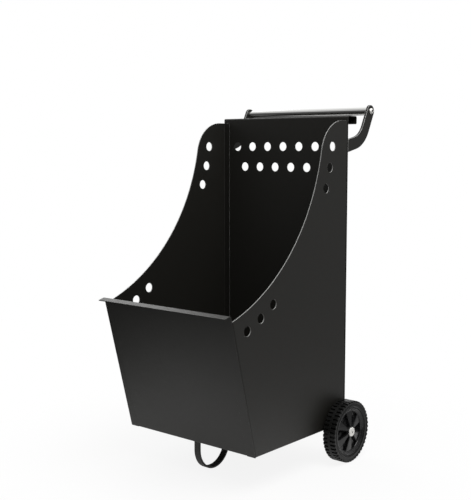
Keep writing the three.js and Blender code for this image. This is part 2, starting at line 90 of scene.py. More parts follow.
def add_node(tree, kind, values=None, links=None, **settings):
    """One node: its settings, then the numbers and the outputs that feed its sockets."""
    node = tree.nodes.new(kind)
    for name, setting in settings.items():
        setattr(node, name, setting)
    for socket, value in (values or {}).items():
        node.inputs[socket].default_value = value
    for socket, output in (links or {}).items():
        tree.links.new(output, node.inputs[socket])
    return node


def grid_faces(rows, columns, wrap_rows=False):
    """Four-sided faces of a grid of points numbered row by row. Each row closes on itself, and
    with wrap_rows the last row also joins the first."""
    i = np.arange(rows if wrap_rows else rows - 1)[:, None]
    j = np.arange(columns)[None, :]
    beside = (j + 1) % columns
    row, below = i * columns, (i + 1) % rows * columns
    return np.stack((row + j, row + beside, below + beside, below + j), -1).reshape(-1, 4).tolist()


def new_piece(name, points, faces):
    """A closed mesh from millimetres in the cart: equal points are joined and the faces are
    turned outwards."""
    mesh = bpy.data.meshes.new(name)
    mesh.from_pydata(((points + CART) * MM).tolist(), [], faces)
    work = bmesh.new()
    work.from_mesh(mesh)
    bmesh.ops.remove_doubles(work, verts=work.verts, dist=SAME_POINT)
    bmesh.ops.recalc_face_normals(work, faces=work.faces)
    work.to_mesh(mesh)
    work.free()
    mesh.polygons.foreach_set("use_smooth", np.ones(len(mesh.polygons), bool))
    piece = bpy.data.objects.new(name, mesh)
    bpy.context.scene.collection.objects.link(piece)
    return piece


def rounded(corners, radii, steps=7, closed=True):
    """A line with an arc at each corner. The arc leaves the line at radius * tan(turn / 2)
    before the corner, and its points swing evenly through the turn."""
    corners = np.asarray(corners, float)
    radii = np.broadcast_to(np.asarray(radii, float), len(corners)).copy()
    before = corners - np.roll(corners, 1, 0)
    after = np.roll(corners, -1, 0) - corners
    if not closed:
        radii[[0, -1]] = 0
        before[0], after[-1] = after[0], before[-1]
    before /= np.linalg.norm(before, axis=1)[:, None]
    after /= np.linalg.norm(after, axis=1)[:, None]
    across = before[:, 0] * after[:, 1] - before[:, 1] * after[:, 0]
    turn = np.arctan2(across, (before * after).sum(1))
    inward = np.stack((-before[:, 1], before[:, 0]), 1) * np.sign(turn)[:, None]
    start = corners - before * (radii * np.tan(abs(turn) / 2))[:, None]
    swing = turn[:, None] * np.linspace(0, 1, steps)
    ray = np.stack((
        -inward[:, :1] * np.cos(swing) + inward[:, 1:] * np.sin(swing),
        -inward[:, :1] * np.sin(swing) - inward[:, 1:] * np.cos(swing),
    ), -1)
    line = ((start + inward * radii[:, None])[:, None] + radii[:, None, None] * ray).reshape(-1, 2)
    line = np.where(np.repeat(radii == 0, steps)[:, None], np.repeat(corners, steps, 0), line)
    apart = np.linalg.norm(line - np.roll(line, 1, 0), axis=1) > SAME_POINT
    return line[apart | (np.arange(len(line)) == 0) & (not closed)]


def prism(outline, x0, x1):
    """Points and faces of a side view (y, z) carried from x0 to x1 and closed at both ends."""
    n = len(outline)
    points = np.concatenate([np.insert(outline, 0, x, axis=1) for x in (x0, x1)])
    return points, grid_faces(2, n) + [list(range(n)), list(range(n, 2 * n))]


def circle(centre, radius, sides):
    """Points at equal angles round a centre."""
    angle = np.linspace(0, 2 * np.pi, sides, endpoint=False)
    return np.asarray(centre) + radius * np.stack((np.cos(angle), np.sin(angle)), 1)


def together(*bodies):
    """Several lists of points and faces as one."""
    points, faces, count = [], [], 0
    for some_points, some_faces in bodies:
        points.append(some_points)
        faces += [[i + count for i in face] for face in some_faces]
        count += len(some_points)
    return np.concatenate(points), faces


def combine(piece, tool, operation):
    """Adds, cuts or keeps the space of a second closed mesh, and removes that mesh."""
    step = piece.modifiers.new("combine", "BOOLEAN")
    step.operation, step.object, step.solver = operation, tool, "EXACT"
    shape = piece.evaluated_get(bpy.context.evaluated_depsgraph_get())
    mesh = bpy.data.meshes.new_from_object(shape)
    old, tool_mesh = piece.data, tool.data
    piece.modifiers.clear()
    piece.data = mesh
    mesh.polygons.foreach_set("use_smooth", np.ones(len(mesh.polygons), bool))
    bpy.data.objects.remove(tool)
    for unused in (old, tool_mesh):
        bpy.data.meshes.remove(unused)
    mesh.name = piece.name


def soften(piece, width, segments=2, angle=40, edge_slot=0):
    """Rounds each edge sharper than the angle by a width in millimetres, and lets the large
    faces keep their flat shading. The rounding takes its material from edge_slot."""
    bevel = piece.modifiers.new("rounded_edges", "BEVEL")
    bevel.width, bevel.segments, bevel.angle_limit = width * MM, segments, np.radians(angle)
    bevel.limit_method, bevel.use_clamp_overlap = "ANGLE", True
    bevel.miter_outer, bevel.material = "MITER_ARC", edge_slot
    shade = piece.modifiers.new("flat_faces", "WEIGHTED_NORMAL")
    shade.keep_sharp = True


def start_material(name):
    """A new material, with its node tree and its shader."""
    material = bpy.data.materials.new(name)
    material.use_nodes = True
    return material, material.node_tree, material.node_tree.nodes["Principled BSDF"]


def front_y(z, inside=0.0):
    """Where the leaning front is at a height: depth + z * tan(lean), less what lies inside it."""
    return -(DEPTH + z * np.tan(LEAN)) + inside / np.cos(LEAN)


# Polyester powder coat, sprayed and baked to a satin black: dark, with a soft wide highlight
# and the faint pebbled skin of the melted powder. The pebbles are 0.5 mm across and the slow
# swell of the coat is 9 mm.
PEBBLE = 0.5
SWELL = 9.0
powder_coat, tree, shader = start_material("powder_coat_satin_black")
place = add_node(tree, "ShaderNodeTexCoord").outputs["Object"]
pebbles = add_node(
    tree, "ShaderNodeTexNoise", {"Scale": 1 / (PEBBLE * MM), "Detail": 2.0}, {"Vector": place}
)
swell = add_node(
    tree, "ShaderNodeTexNoise", {"Scale": 1 / (SWELL * MM), "Detail": 3.0}, {"Vector": place}
)
black = add_node(
    tree,
    "ShaderNodeMix",
    {"A": linear("#1a1916"), "B": linear("#1f1e1a")},
    {"Factor": swell.outputs["Fac"]},
    data_type="RGBA",
)
gloss = add_node(
    tree, "ShaderNodeMapRange", {"To Min": 0.42, "To Max": 0.54}, {"Value": swell.outputs["Fac"]}
)
skin = add_node(
    tree,
    "ShaderNodeBump",
    {"Strength": 0.25, "Distance": 0.06 * MM},
    {"Height": pebbles.outputs["Fac"]},
)
tree.links.new(black.outputs["Result"], shader.inputs["Base Color"])
tree.links.new(gloss.outputs["Result"], shader.inputs["Roughness"])
tree.links.new(skin.outputs["Normal"], shader.inputs["Normal"])

# Painted highlight on the edges: a pale grey, shinier coat on the bevels' rounding and on cut
# edges stands in for the light that the edges catch, uneven over 4 mm.
HIGHLIGHT_SPOT = 4.0
painted_edge_highlight, tree, shader = start_material("powder_coat_painted_edge_highlight")
place = add_node(tree, "ShaderNodeTexCoord").outputs["Object"]
highlight_noise = add_node(
    tree, "ShaderNodeTexNoise", {"Scale": 1 / (HIGHLIGHT_SPOT * MM), "Detail": 3.0}, {"Vector": place}
)
highlight_tone = add_node(
    tree,
    "ShaderNodeMix",
    {"A": linear("#8c8c8a"), "B": linear("#b2b2b0")},
    {"Factor": highlight_noise.outputs["Fac"]},
    data_type="RGBA",
)
gloss = add_node(
    tree, "ShaderNodeMapRange", {"To Min": 0.28, "To Max": 0.4}, {"Value": highlight_noise.outputs["Fac"]}
)
tree.links.new(highlight_tone.outputs["Result"], shader.inputs["Base Color"])
tree.links.new(gloss.outputs["Result"], shader.inputs["Roughness"])


def coat(piece, beyond=None):
    """Powder coat on the faces and the painted edge highlight on what the bevel adds. With
    `beyond`, the faces along X that lie further out than this, such as a side's cut edge, take the
    painted highlight too."""
    piece.data.materials.clear()
    for material in (powder_coat, painted_edge_highlight):
        piece.data.materials.append(material)
    if beyond:
        for face in piece.data.polygons:
            highlight_face = abs(face.center.x) > beyond * MM and abs(face.normal.x) < 0.1
            face.material_index = int(highlight_face)


# Where the scoop's circle meets the front's edge and the shoulder's circle.
scoop_end = np.array((front_y(SCOOP_END_Z), SCOOP_END_Z))
chord = SHOULDER - scoop_end
span = np.linalg.norm(chord)
reach = (span**2 + SCOOP_RADIUS**2 - (SHOULDER_RADIUS + SCOOP_RADIUS) ** 2) / (2 * span)
chord /= span
aside = np.sqrt(SCOOP_RADIUS**2 - reach**2)
scoop = scoop_end + reach * chord + aside * np.array((-chord[1], chord[0]))
scoop_from = np.arctan2(*(SHOULDER - scoop)[::-1])
scoop_to = np.arctan2(*(scoop_end - scoop)[::-1])


def side_tray():
    """A four-cornered outline set in by a fold's section: level with the outside from the rim's
    edge, round the outer arc, across the sheet and back by the inner arc."""
    inside = SHEET + FIT
    top = SIDE_HEIGHT + RIM
    front_top, front_bottom = front_y(top, inside), front_y(0, inside)
    corners = np.array(((-inside, 0), (-inside, top), (front_top, top), (front_bottom, 0)))
    way = np.roll(corners, -1, 0) - corners
    way /= np.linalg.norm(way, axis=1)[:, None]
    normal = np.stack((way[:, 1], -way[:, 0]), 1)
    last = np.roll(normal, 1, 0)
    slant = -(normal + last) / (1 + (normal * last).sum(1))[:, None]
    outward = -np.sign((slant * (corners.mean(0) - corners)).sum(1))[:, None]
    rim_x = HALF_WIDTH - RIM
    bend = FOLD + SHEET
    swing = np.linspace(0, np.pi / 2, FOLD_STEPS)
    arcs = [
        np.stack((HALF_WIDTH - bend + radius * np.sin(swing), bend - radius * np.cos(swing)), 1)
        for radius in (bend, FOLD)
    ]
    outer, inner = arcs[0], arcs[1][::-1]
    section = np.concatenate((inner, ((rim_x, SHEET), (rim_x, 0)), outer))
    ring = corners[None] - outward[None] * slant[None] * section[:, 1, None, None]
    x = np.broadcast_to(section[:, 0, None, None], (len(section), 4, 1))
    points = np.concatenate((x, ring), -1).reshape(-1, 3)
    count = len(points)
    caps = [[0, 1, 2, 3], [count - 4, count - 3, count - 2, count - 1]]
    return points, grid_faces(len(section), 4) + caps


def scooped_line():
    """The side's top edge from behind the back to past the front: level, round the shoulder's
    circle, then along the scoop's."""
    round_over = np.linspace(np.pi / 2, scoop_from + np.pi, SHOULDER_STEPS)
    swing = np.linspace(scoop_from, scoop_to, SCOOP_STEPS)
    shoulder = SHOULDER + SHOULDER_RADIUS * np.stack((np.cos(round_over), np.sin(round_over)), 1)
    hollow = scoop + SCOOP_RADIUS * np.stack((np.cos(swing), np.sin(swing)), 1)
    level = [(WASTE_BACK, SIDE_HEIGHT)]
    return np.concatenate((level, shoulder, hollow[1:], [(WASTE_FRONT, SCOOP_END_Z)]))


upper = scoop_from + UPPER_HOLE / HOLE_RING
lower = scoop_to + LOWER_HOLE / HOLE_RING
hole_steps = SIDE_HOLE_PITCH / HOLE_RING * np.arange(HOLES_AT_EACH_END)
hole_angles = np.concatenate((upper - hole_steps, lower + hole_steps))
holes = scoop + HOLE_RING * np.stack((np.cos(hole_angles), np.sin(hole_angles)), 1)
above = ((WASTE_FRONT, WASTE_TOP), (WASTE_BACK, WASTE_TOP))
waste = np.concatenate((scooped_line(), above))
cuts = [prism(waste, HALF_WIDTH - 2 * RIM, HALF_WIDTH + RIM)]
for hole in holes:
    punch = circle(hole, HOLE_RADIUS, HOLE_SIDES)
    cuts.append(prism(punch, HALF_WIDTH - RIM, HALF_WIDTH + RIM))
for name, side in (("right", 1), ("left", -1)):
    turned_over = np.array((side, 1, 1))
    tray_points, tray_faces = side_tray()
    cut_points, cut_faces = together(*cuts)
    panel = new_piece(f"side_tray_{name}", tray_points * turned_over, tray_faces)
    combine(panel, new_piece("waste", cut_points * turned_over, cut_faces), "DIFFERENCE")
    # The rounded edges take the painted edge highlight.
    soften(panel, EDGE, edge_slot=1)
    coat(panel, HALF_WIDTH - SHEET)
    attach(panel, "cart")
    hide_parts(f"side_panel_{name}")


# ---- Front, back and floor ------------------------------------------------------------------
# Folded sheets between and over the two trays. The front leans out and ends in a lip square to
# it. The back ends in an open rail, folded back, down and in, and has two rows of punched holes.
# The floor is a plain plate that lies on the bottom rims.
LIP = 20.0
RIM_RELIEF = 4.0  # the bottom rims stop this far short of the trays' rims
RIM_HALF = HALF_WIDTH - RIM - RIM_RELIEF
BACK_HOLE_PITCH = 50.9
TOP_ROW_DROP = 74.8
ROW_SPACING = 53.2
ROW_COUNTS = (7, 6)
RAIL_DROP = 20.0
RAIL_HEM = 12.0


def bent_strip(line, radii, thickness):
    """Outline of a strip bent along a line. One face keeps to the line, and the other is set to
    its left by the thickness, so its radii differ by as much."""
    line = np.asarray(line, float)
    way = np.diff(line, axis=0)
    way /= np.linalg.norm(way, axis=1)[:, None]
    left = np.stack((-way[:, 1], way[:, 0]), 1)
    first, second = np.concatenate((left[:1], left)), np.concatenate((left, left[-1:]))
    offset = (first + second) / (1 + (first * second).sum(1))[:, None]
    turns_left = (first[:, 0] * second[:, 1] - first[:, 1] * second[:, 0]) > 0
    inside = np.concatenate(((0,), radii, (0,)))
    near = rounded(line, inside + thickness * turns_left, closed=False)
    far = rounded(line + thickness * offset, inside + thickness * ~turns_left, closed=False)
    return np.concatenate((near, far[::-1]))


def across_panel(name, rim_line, plain_line):
    """A panel as wide as the bin: its rimmed section between the trays' rims, and its plain
    section at the two ends."""
    rimmed, plain = (
        bent_strip(line, np.full(len(line) - 2, FOLD), SHEET) for line in (rim_line, plain_line)
    )
    panel = new_piece(name, *prism(rimmed, -RIM_HALF, RIM_HALF))
    for x0, x1 in ((-HALF_WIDTH, -RIM_HALF), (RIM_HALF, HALF_WIDTH)):
        combine(panel, new_piece("end", *prism(plain, x0, x1)), "UNION")
    return panel


cut_z = SHEET * np.sin(LEAN)
lip_root = np.array((front_y(FRONT_HEIGHT, SHEET), FRONT_HEIGHT))
lip_tip = lip_root - LIP * np.array((np.cos(LEAN), np.sin(LEAN)))
front = across_panel(
    "front_sheet",
    [(RIM - DEPTH, SHEET), (front_y(SHEET, SHEET), SHEET), lip_root, lip_tip],
    [(front_y(cut_z, SHEET), cut_z), lip_root, lip_tip],
)
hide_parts("front_panel")

rail_y = RAIL_DEPTH - SHEET
rail = [
    (rail_y - RAIL_HEM, BACK_HEIGHT - RAIL_DROP),
    (rail_y, BACK_HEIGHT - RAIL_DROP),
    (rail_y, BACK_HEIGHT),
    (-SHEET, BACK_HEIGHT),
]
back = across_panel("back_sheet", [*rail, (-SHEET, SHEET), (-RIM, SHEET)], [*rail, (-SHEET, 0.0)])
punches = []
for row, count in enumerate(ROW_COUNTS):
    z = BACK_HEIGHT - TOP_ROW_DROP - row * ROW_SPACING
    for column in range(count):
        x = (column - (count - 1) / 2) * BACK_HOLE_PITCH
        points, faces = prism(circle((x, z), HOLE_RADIUS, HOLE_SIDES), -3 * SHEET, 2 * SHEET)
        punches.append((points[:, (1, 0, 2)], faces))
combine(back, new_piece("punches", *together(*punches)), "DIFFERENCE")
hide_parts("back_panel")
for panel in (front, back):
    # The rounded edges take the painted edge highlight.
    soften(panel, EDGE, edge_slot=1)
    coat(panel)
    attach(panel, "cart")

floor_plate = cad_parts["floor_panel"]
floor_plate.material_slots[0].material = powder_coat


# ---- Handle arms ----------------------------------------------------------------------------
# Two arms laser cut from 6 mm plate, their edges eased. Each stands on the back panel, bends
# upwards and ends round the bar's axis. They are powder coated with the bin.
ARM_THICKNESS = 6.0
ARM_HALF = 15.5
ARM_BEND = 68.0
ARM_ROOT = np.array((0.0, BACK_HEIGHT - 73.4))
ARM_EDGE = 0.8
ARM_STEPS = 24  # points of the bend
TIP_STEPS = 40  # points of the round end
DRILL_SIDES = 40
DRILL_PAST = 5.0  # the drill reaches this far past the plate
BAR = np.array((102.5, BACK_HEIGHT + 14.0))
SCREW_RADIUS = 4.0
root_rise, tip_rise = np.radians((12.35, 63.4))  # slopes of the arm's middle line


def arc(centre, radius, start, end, steps):
    """Points of a circle at even angles from start to end."""
    angle = np.linspace(start, end, steps)
    return np.asarray(centre) + radius * np.stack((np.cos(angle), np.sin(angle)), 1)


root_way = np.array((np.cos(root_rise), np.sin(root_rise)))
tip_way = np.array((np.cos(tip_rise), np.sin(tip_rise)))
along = BAR - ARM_ROOT
to_corner = (along[0] * tip_way[1] - along[1] * tip_way[0]) / np.sin(tip_rise - root_rise)
to_bend = to_corner - ARM_BEND * np.tan((tip_rise - root_rise) / 2)
bend_centre = ARM_ROOT + to_bend * root_way + ARM_BEND * np.array((-root_way[1], root_way[0]))
root_z = ARM_ROOT[1] + FIT * np.tan(root_rise)
root_half = ARM_HALF / np.cos(root_rise)
quarter = np.pi / 2
arm_outline = np.concatenate((
    [(FIT, root_z - root_half)],
    arc(bend_centre, ARM_BEND + ARM_HALF, root_rise - quarter, tip_rise - quarter, ARM_STEPS),
    arc(BAR, ARM_HALF, tip_rise - quarter, tip_rise + quarter, TIP_STEPS)[1:-1],
    arc(bend_centre, ARM_BEND - ARM_HALF, tip_rise - quarter, root_rise - quarter, ARM_STEPS),
    [(FIT, root_z + root_half)],
))
for name, side in (("right", 1), ("left", -1)):
    ends = sorted((side * (HALF_WIDTH - ARM_THICKNESS), side * HALF_WIDTH))
    arm = new_piece(f"arm_{name}", *prism(arm_outline, *ends))
    hole = circle(BAR, SCREW_RADIUS + FIT, DRILL_SIDES)
    drill = prism(hole, ends[0] - DRILL_PAST, ends[1] + DRILL_PAST)
    combine(arm, new_piece("drill", *drill), "DIFFERENCE")
    # The rounded edges take the painted edge highlight.
    soften(arm, ARM_EDGE, 3, edge_slot=1)
    coat(arm)
    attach(arm, "cart")
    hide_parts(f"handle_arm_{name}")


# ---- Handle bar -----------------------------------------------------------------------------
# Stainless tube, 20 mm across, polished. It sits between the arms on two threaded inserts, and
# a button-head screw with a hexagon socket holds each end.
BAR_RADIUS = 10.0
BAR_WALL = 1.5
BAR_HALF = HALF_WIDTH - ARM_THICKNESS - FIT
INSERT_LENGTH = 24.0
SCREW_GRIP = 18.0
SCREW_HEAD = 7.5
SCREW_HEAD_WALL = 1.6  # height of the head's upright edge
SCREW_HEAD_FLAT = 5.2  # radius of its top, before rounding
SCREW_HEAD_HEIGHT = 4.4
SCREW_ROUNDING = (0, 0.6, 0.2, 0.3, 2.0, 1.6, 0)  # at the corners of the screw's line
SOCKET = 5.6  # across its flats
SOCKET_DEPTH = 3.2
SOCKET_EDGE = 0.2
TURNED_EDGE = 0.3  # rounding of a turned piece's edges
ROUND = 96  # sides of a turned piece


def turned(section, centre, side=1, sides=ROUND, wrap=True):
    """A section of (radius, x) carried round an axis along X at `centre` (y, z). With wrap it
    closes on itself, else it starts and ends on the axis. Side -1 turns it to face -X."""
    section = np.asarray(section, float)
    angle = np.linspace(0, 2 * np.pi, sides, endpoint=False)
    radius, x = section[:, :1], np.repeat(section[:, 1:] * side, sides, 1)
    y, z = centre[0] + radius * np.cos(angle), centre[1] + radius * np.sin(angle)
    points = np.stack((x, y, z), -1).reshape(-1, 3)
    return points, grid_faces(len(section), sides, wrap)


def ring_section(outer, inner, x0, x1, edge):
    """The section of a tube or washer, its four edges rounded."""
    return rounded(((inner, x0), (outer, x0), (outer, x1), (inner, x1)), edge, 5)


# Stainless steel polished with fine grit while it turns: a clear mirror with faint lines round
# the bar. Real lines are a few hundredths of a millimetre apart and are drawn 0.4 mm apart. The
# gloss also wanders over 30 mm.
LINE = 0.4
LINE_SHARE = 0.3
SMEAR = 30.0
polished_steel, tree, shader = start_material("stainless_steel_polished")
shader.inputs["Metallic"].default_value = 1.0
shader.inputs["Base Color"].default_value = linear("#e0e0de")
place = add_node(tree, "ShaderNodeTexCoord").outputs["Object"]
stretch = add_node(tree, "ShaderNodeMapping", {"Scale": (1.0, 0.02, 0.02)}, {"Vector": place})
lines = add_node(
    tree,
    "ShaderNodeTexNoise",
    {"Scale": 1 / (LINE * MM), "Detail": 2.0},
    {"Vector": stretch.outputs["Vector"]},
)
smear = add_node(
    tree, "ShaderNodeTexNoise", {"Scale": 1 / (SMEAR * MM), "Detail": 2.0}, {"Vector": place}
)
wear = add_node(
    tree, "ShaderNodeMath", {1: LINE_SHARE}, {0: lines.outputs["Fac"]}, operation="MULTIPLY"
)
both = add_node(
    tree,
    "ShaderNodeMath",
    {},
    {0: smear.outputs["Fac"], 1: wear.outputs["Value"]},
    operation="ADD",
)
gloss = add_node(
    tree,
    "ShaderNodeMapRange",
    {"From Max": 1 + LINE_SHARE, "To Min": 0.03, "To Max": 0.08},
    {"Value": both.outputs["Value"]},
)
tree.links.new(gloss.outputs["Result"], shader.inputs["Roughness"])

# Bright zinc plate on turned steel: paler and duller than the bar, its tone mottled over 3 mm.
MOTTLE = 3.0
zinc_plate, tree, shader = start_material("zinc_plated_steel")
shader.inputs["Metallic"].default_value = 1.0
place = add_node(tree, "ShaderNodeTexCoord").outputs["Object"]
mottle = add_node(
    tree, "ShaderNodeTexNoise", {"Scale": 1 / (MOTTLE * MM), "Detail": 4.0}, {"Vector": place}
)
tone = add_node(
    tree,
    "ShaderNodeMix",
    {"A": linear("#c3c6c8"), "B": linear("#d6d7d4")},
    {"Factor": mottle.outputs["Fac"]},
    data_type="RGBA",
)
gloss = add_node(
    tree, "ShaderNodeMapRange", {"To Min": 0.42, "To Max": 0.55}, {"Value": mottle.outputs["Fac"]}
)
tree.links.new(tone.outputs["Result"], shader.inputs["Base Color"])
tree.links.new(gloss.outputs["Result"], shader.inputs["Roughness"])

# Nickel plate on tumbled steel, on the screws and the wheels' caps: near white and matt, because
# the tumbling leaves a skin of dents 1.5 mm apart that spreads every highlight.
DENT = 1.5
bright_plate, tree, shader = start_material("nickel_plated_tumbled_steel")
shader.inputs["Metallic"].default_value = 1.0
shader.inputs["Base Color"].default_value = linear("#f7f6f3")
place = add_node(tree, "ShaderNodeTexCoord").outputs["Object"]
tumble = add_node(
    tree, "ShaderNodeTexNoise", {"Scale": 1 / (DENT * MM), "Detail": 3.0}, {"Vector": place}
)
gloss = add_node(
    tree, "ShaderNodeMapRange", {"To Min": 0.66, "To Max": 0.8}, {"Value": tumble.outputs["Fac"]}
)
tree.links.new(gloss.outputs["Result"], shader.inputs["Roughness"])

# Painted shade for a screw's socket: a dark steel colour on the socket's faces stands in for
# the shade in the recess, uneven over 1 mm.
SHADE_MOTTLE = 1.0
socket_shade, tree, shader = start_material("screw_socket_painted_shade")
shader.inputs["Metallic"].default_value = 1.0
place = add_node(tree, "ShaderNodeTexCoord").outputs["Object"]
shade_mottle = add_node(
    tree, "ShaderNodeTexNoise", {"Scale": 1 / (SHADE_MOTTLE * MM), "Detail": 3.0}, {"Vector": place}
)
tone = add_node(
    tree,
    "ShaderNodeMix",
    {"A": linear("#3a3836"), "B": linear("#4c4a47")},
    {"Factor": shade_mottle.outputs["Fac"]},
    data_type="RGBA",
)
gloss = add_node(
    tree, "ShaderNodeMapRange", {"To Min": 0.45, "To Max": 0.6}, {"Value": shade_mottle.outputs["Fac"]}
)
tree.links.new(tone.outputs["Result"], shader.inputs["Base Color"])
tree.links.new(gloss.outputs["Result"], shader.inputs["Roughness"])

bar_bore = BAR_RADIUS - BAR_WALL
bar_section = ring_section(BAR_RADIUS, bar_bore, -BAR_HALF, BAR_HALF, TURNED_EDGE)
bar = new_piece("bar_tube", *turned(bar_section, BAR))
bar.data.materials.append(polished_steel)
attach(bar, "cart")
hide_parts("handle_bar")

insert_radius = bar_bore - FIT
insert_bore = SCREW_RADIUS + FIT
insert_end = BAR_HALF - INSERT_LENGTH
insert_bottom = BAR_HALF - SCREW_GRIP - 2 * FIT
insert_line = (
    (0, insert_end),
    (insert_radius, insert_end),
    (insert_radius, BAR_HALF),
    (insert_bore, BAR_HALF),
    (insert_bore, insert_bottom),
    (0, insert_bottom),
)
head_seat = HALF_WIDTH + FIT
head_top = head_seat + SCREW_HEAD_HEIGHT
screw_line = (
    (0, BAR_HALF - SCREW_GRIP),
    (SCREW_RADIUS, BAR_HALF - SCREW_GRIP),
    (SCREW_RADIUS, head_seat),
    (SCREW_HEAD, head_seat),
    (SCREW_HEAD, head_seat + SCREW_HEAD_WALL),
    (SCREW_HEAD_FLAT, head_top),
    (0, head_top),
)
for name, side in (("right", 1), ("left", -1)):
    insert_section = rounded(insert_line, TURNED_EDGE, 4, False)
    insert = new_piece(f"bar_insert_{name}", *turned(insert_section, BAR, side, wrap=False))
    screw_section = rounded(screw_line, SCREW_ROUNDING, 6, False)
    screw = new_piece(f"bar_screw_{name}", *turned(screw_section, BAR, side, wrap=False))
    socket_ends = sorted((side * (head_top - SOCKET_DEPTH), side * (head_top + SOCKET_DEPTH)))
    # A hexagon's corners lie at its width divided by the square root of 3.
    socket = prism(circle(BAR, SOCKET / np.sqrt(3), 6), *socket_ends)
    combine(screw, new_piece("socket", *socket), "DIFFERENCE")
    soften(screw, SOCKET_EDGE)
    for piece, plates in ((insert, (zinc_plate,)), (screw, (bright_plate, socket_shade))):
        piece.data.materials.clear()
        for plate in plates:
            piece.data.materials.append(plate)
        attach(piece, "cart")
    # The socket's faces, which take the painted shade, lie outside the arm and, from the axis,
    # within half the socket's width.
    for face in screw.data.polygons:
        from_axis = np.hypot(*(np.array(face.center)[1:] / MM - (CART[1:] + BAR)))
        outside = abs(face.center.x) > HALF_WIDTH * MM
        face.material_index = int(outside and from_axis < 0.55 * SOCKET)
    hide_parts(f"handle_insert_{name}")
    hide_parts(f"handle_screw_{name}")


# ---- Axle -----------------------------------------------------------------------------------
# A coated tube welded across the bin's bottom carries a plain steel rod. The wheels run on the
# rod between two washers each, and a domed push-on cap closes each end.
AXLE_RADIUS = 6.0
AXLE_EDGE = 0.6
AXLE_BORE = AXLE_RADIUS + FIT
TUBE_WALL = 2.2
TUBE_RADIUS = AXLE_BORE + TUBE_WALL
TUBE_PAST = 2.0  # past the sides
TUBE_HALF = HALF_WIDTH + TUBE_PAST
AXLE = np.array((-29.3, -(TUBE_RADIUS + FIT)))
HUB_BACK = 19.8  # from the wheel's middle plane
HUB_FRONT = 14.2
WASHER_RADIUS = 10.5
WASHER = 1.5
CAP_RADIUS = 11.5
CAP_HEIGHT = 4.2
CAP_WALL = 1.9  # height of the cap's upright edge
CAP_FLAT = 7.6  # radius of its top, before rounding
CAP_ROUNDING = (0.3, 0.3, 0.4, 0.5, 2.4, 4.0, 0.4)  # at the corners of the cap's line
CAP_SOCKET = 2.4
CAP_HOLE = 2.8  # lets the air out when the cap is driven on
inner_washer_x = TUBE_HALF + FIT
wheel_x = inner_washer_x + WASHER + FIT + HUB_BACK
outer_washer_x = wheel_x + HUB_FRONT + FIT
cap_x = outer_washer_x + WASHER + FIT
rod_half = cap_x + CAP_SOCKET - FIT

tube_section = ring_section(TUBE_RADIUS, AXLE_BORE, -TUBE_HALF, TUBE_HALF, EDGE)
tube = new_piece("axle_sleeve", *turned(tube_section, AXLE))
tube.data.materials.append(powder_coat)
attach(tube, "cart")
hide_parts("axle_tube")

rod_line = ((0, -rod_half), (AXLE_RADIUS, -rod_half), (AXLE_RADIUS, rod_half), (0, rod_half))
rod = new_piece("axle_pin", *turned(rounded(rod_line, AXLE_EDGE, 5, False), AXLE, wrap=False))
rod.data.materials.append(zinc_plate)
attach(rod, "cart")
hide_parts("axle_rod")

cap_line = (
    (CAP_HOLE, cap_x + CAP_SOCKET),
    (AXLE_BORE, cap_x + CAP_SOCKET),
    (AXLE_BORE, cap_x),
    (CAP_RADIUS, cap_x),
    (CAP_RADIUS, cap_x + CAP_WALL),
    (CAP_FLAT, cap_x + CAP_HEIGHT),
    (CAP_HOLE, cap_x + CAP_HEIGHT),
)
for name, side in (("right", 1), ("left", -1)):
    for place_name, x in (("inner", inner_washer_x), ("outer", outer_washer_x)):
        section = ring_section(WASHER_RADIUS, AXLE_BORE, x, x + WASHER, TURNED_EDGE)
        washer = new_piece(f"washer_{place_name}_{name}", *turned(section, AXLE, side))
        washer.data.materials.append(zinc_plate)
        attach(washer, "cart")
        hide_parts(f"{place_name}_washer_{name}")
    cap_section = rounded(cap_line, CAP_ROUNDING, 8)
    cap = new_piece(f"cap_{name}", *turned(cap_section, AXLE, side))
    cap.data.materials.append(bright_plate)
    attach(cap, "cart")
    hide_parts(f"hub_cap_{name}")


# ---- Wheel rims -----------------------------------------------------------------------------
# One glossy plastic moulding each: a long hub, a cone of six wedge spokes with a deep blind
# pocket between each two, and a stepped ring whose flanges hold the tyre.
WHEEL_RADIUS = 77.0
TYRE_HALF = 17.2
FLANGE_RADIUS = 60.0
FLANGE_STEP = 3.1  # inside the lugs' sides
FLANGE_THICKNESS = 2.2
FLANGE_HEIGHT = 4.0
FLANGE_EDGE = 1.0
FLANGE = TYRE_HALF - FLANGE_STEP
SEAT = FLANGE - FLANGE_THICKNESS
SEAT_RADIUS = FLANGE_RADIUS - FLANGE_HEIGHT
HUB_RADIUS = 14.0
RIM_INNER = 51.0
RIM_DRAFT = 1.0  # the rim's bore widens by this to the back
FLANGE_FLAT = 58.0  # radius where the flange's flat front ends
CHANNEL = (56.2, 54.6)  # radii of the channel inside it
CHANNEL_DEPTH = 2.0
SHELF = (53.0, RIM_INNER + 0.6)  # radii of the shelf between the channel and the cone
SHELF_DEPTH = 3.4
HUB_NOSE = 13.0  # radius where the cone begins
WEB_FRONT = 9.0  # where the cone ends, at the rim
WEB = 4.0  # thickness of the cone
SPOKES = 6
POCKET_HALF = np.radians(15)
POCKET_MARGIN = 1.2
POCKET_DEPTH = 5.0  # at the rim
POCKET_WALL = 2.0
POCKET_FLOOR = 1.5
POCKET_OUTER_CORNER = 2.0
POCKET_INNER_CORNER = 1.2
FAR_STEPS, NEAR_STEPS = 15, 7  # points of a pocket's outer and inner arc
PAST_HUB = 1.0  # a pocket-shaped block reaches past the hub's front
MOULD_EDGE = 0.6

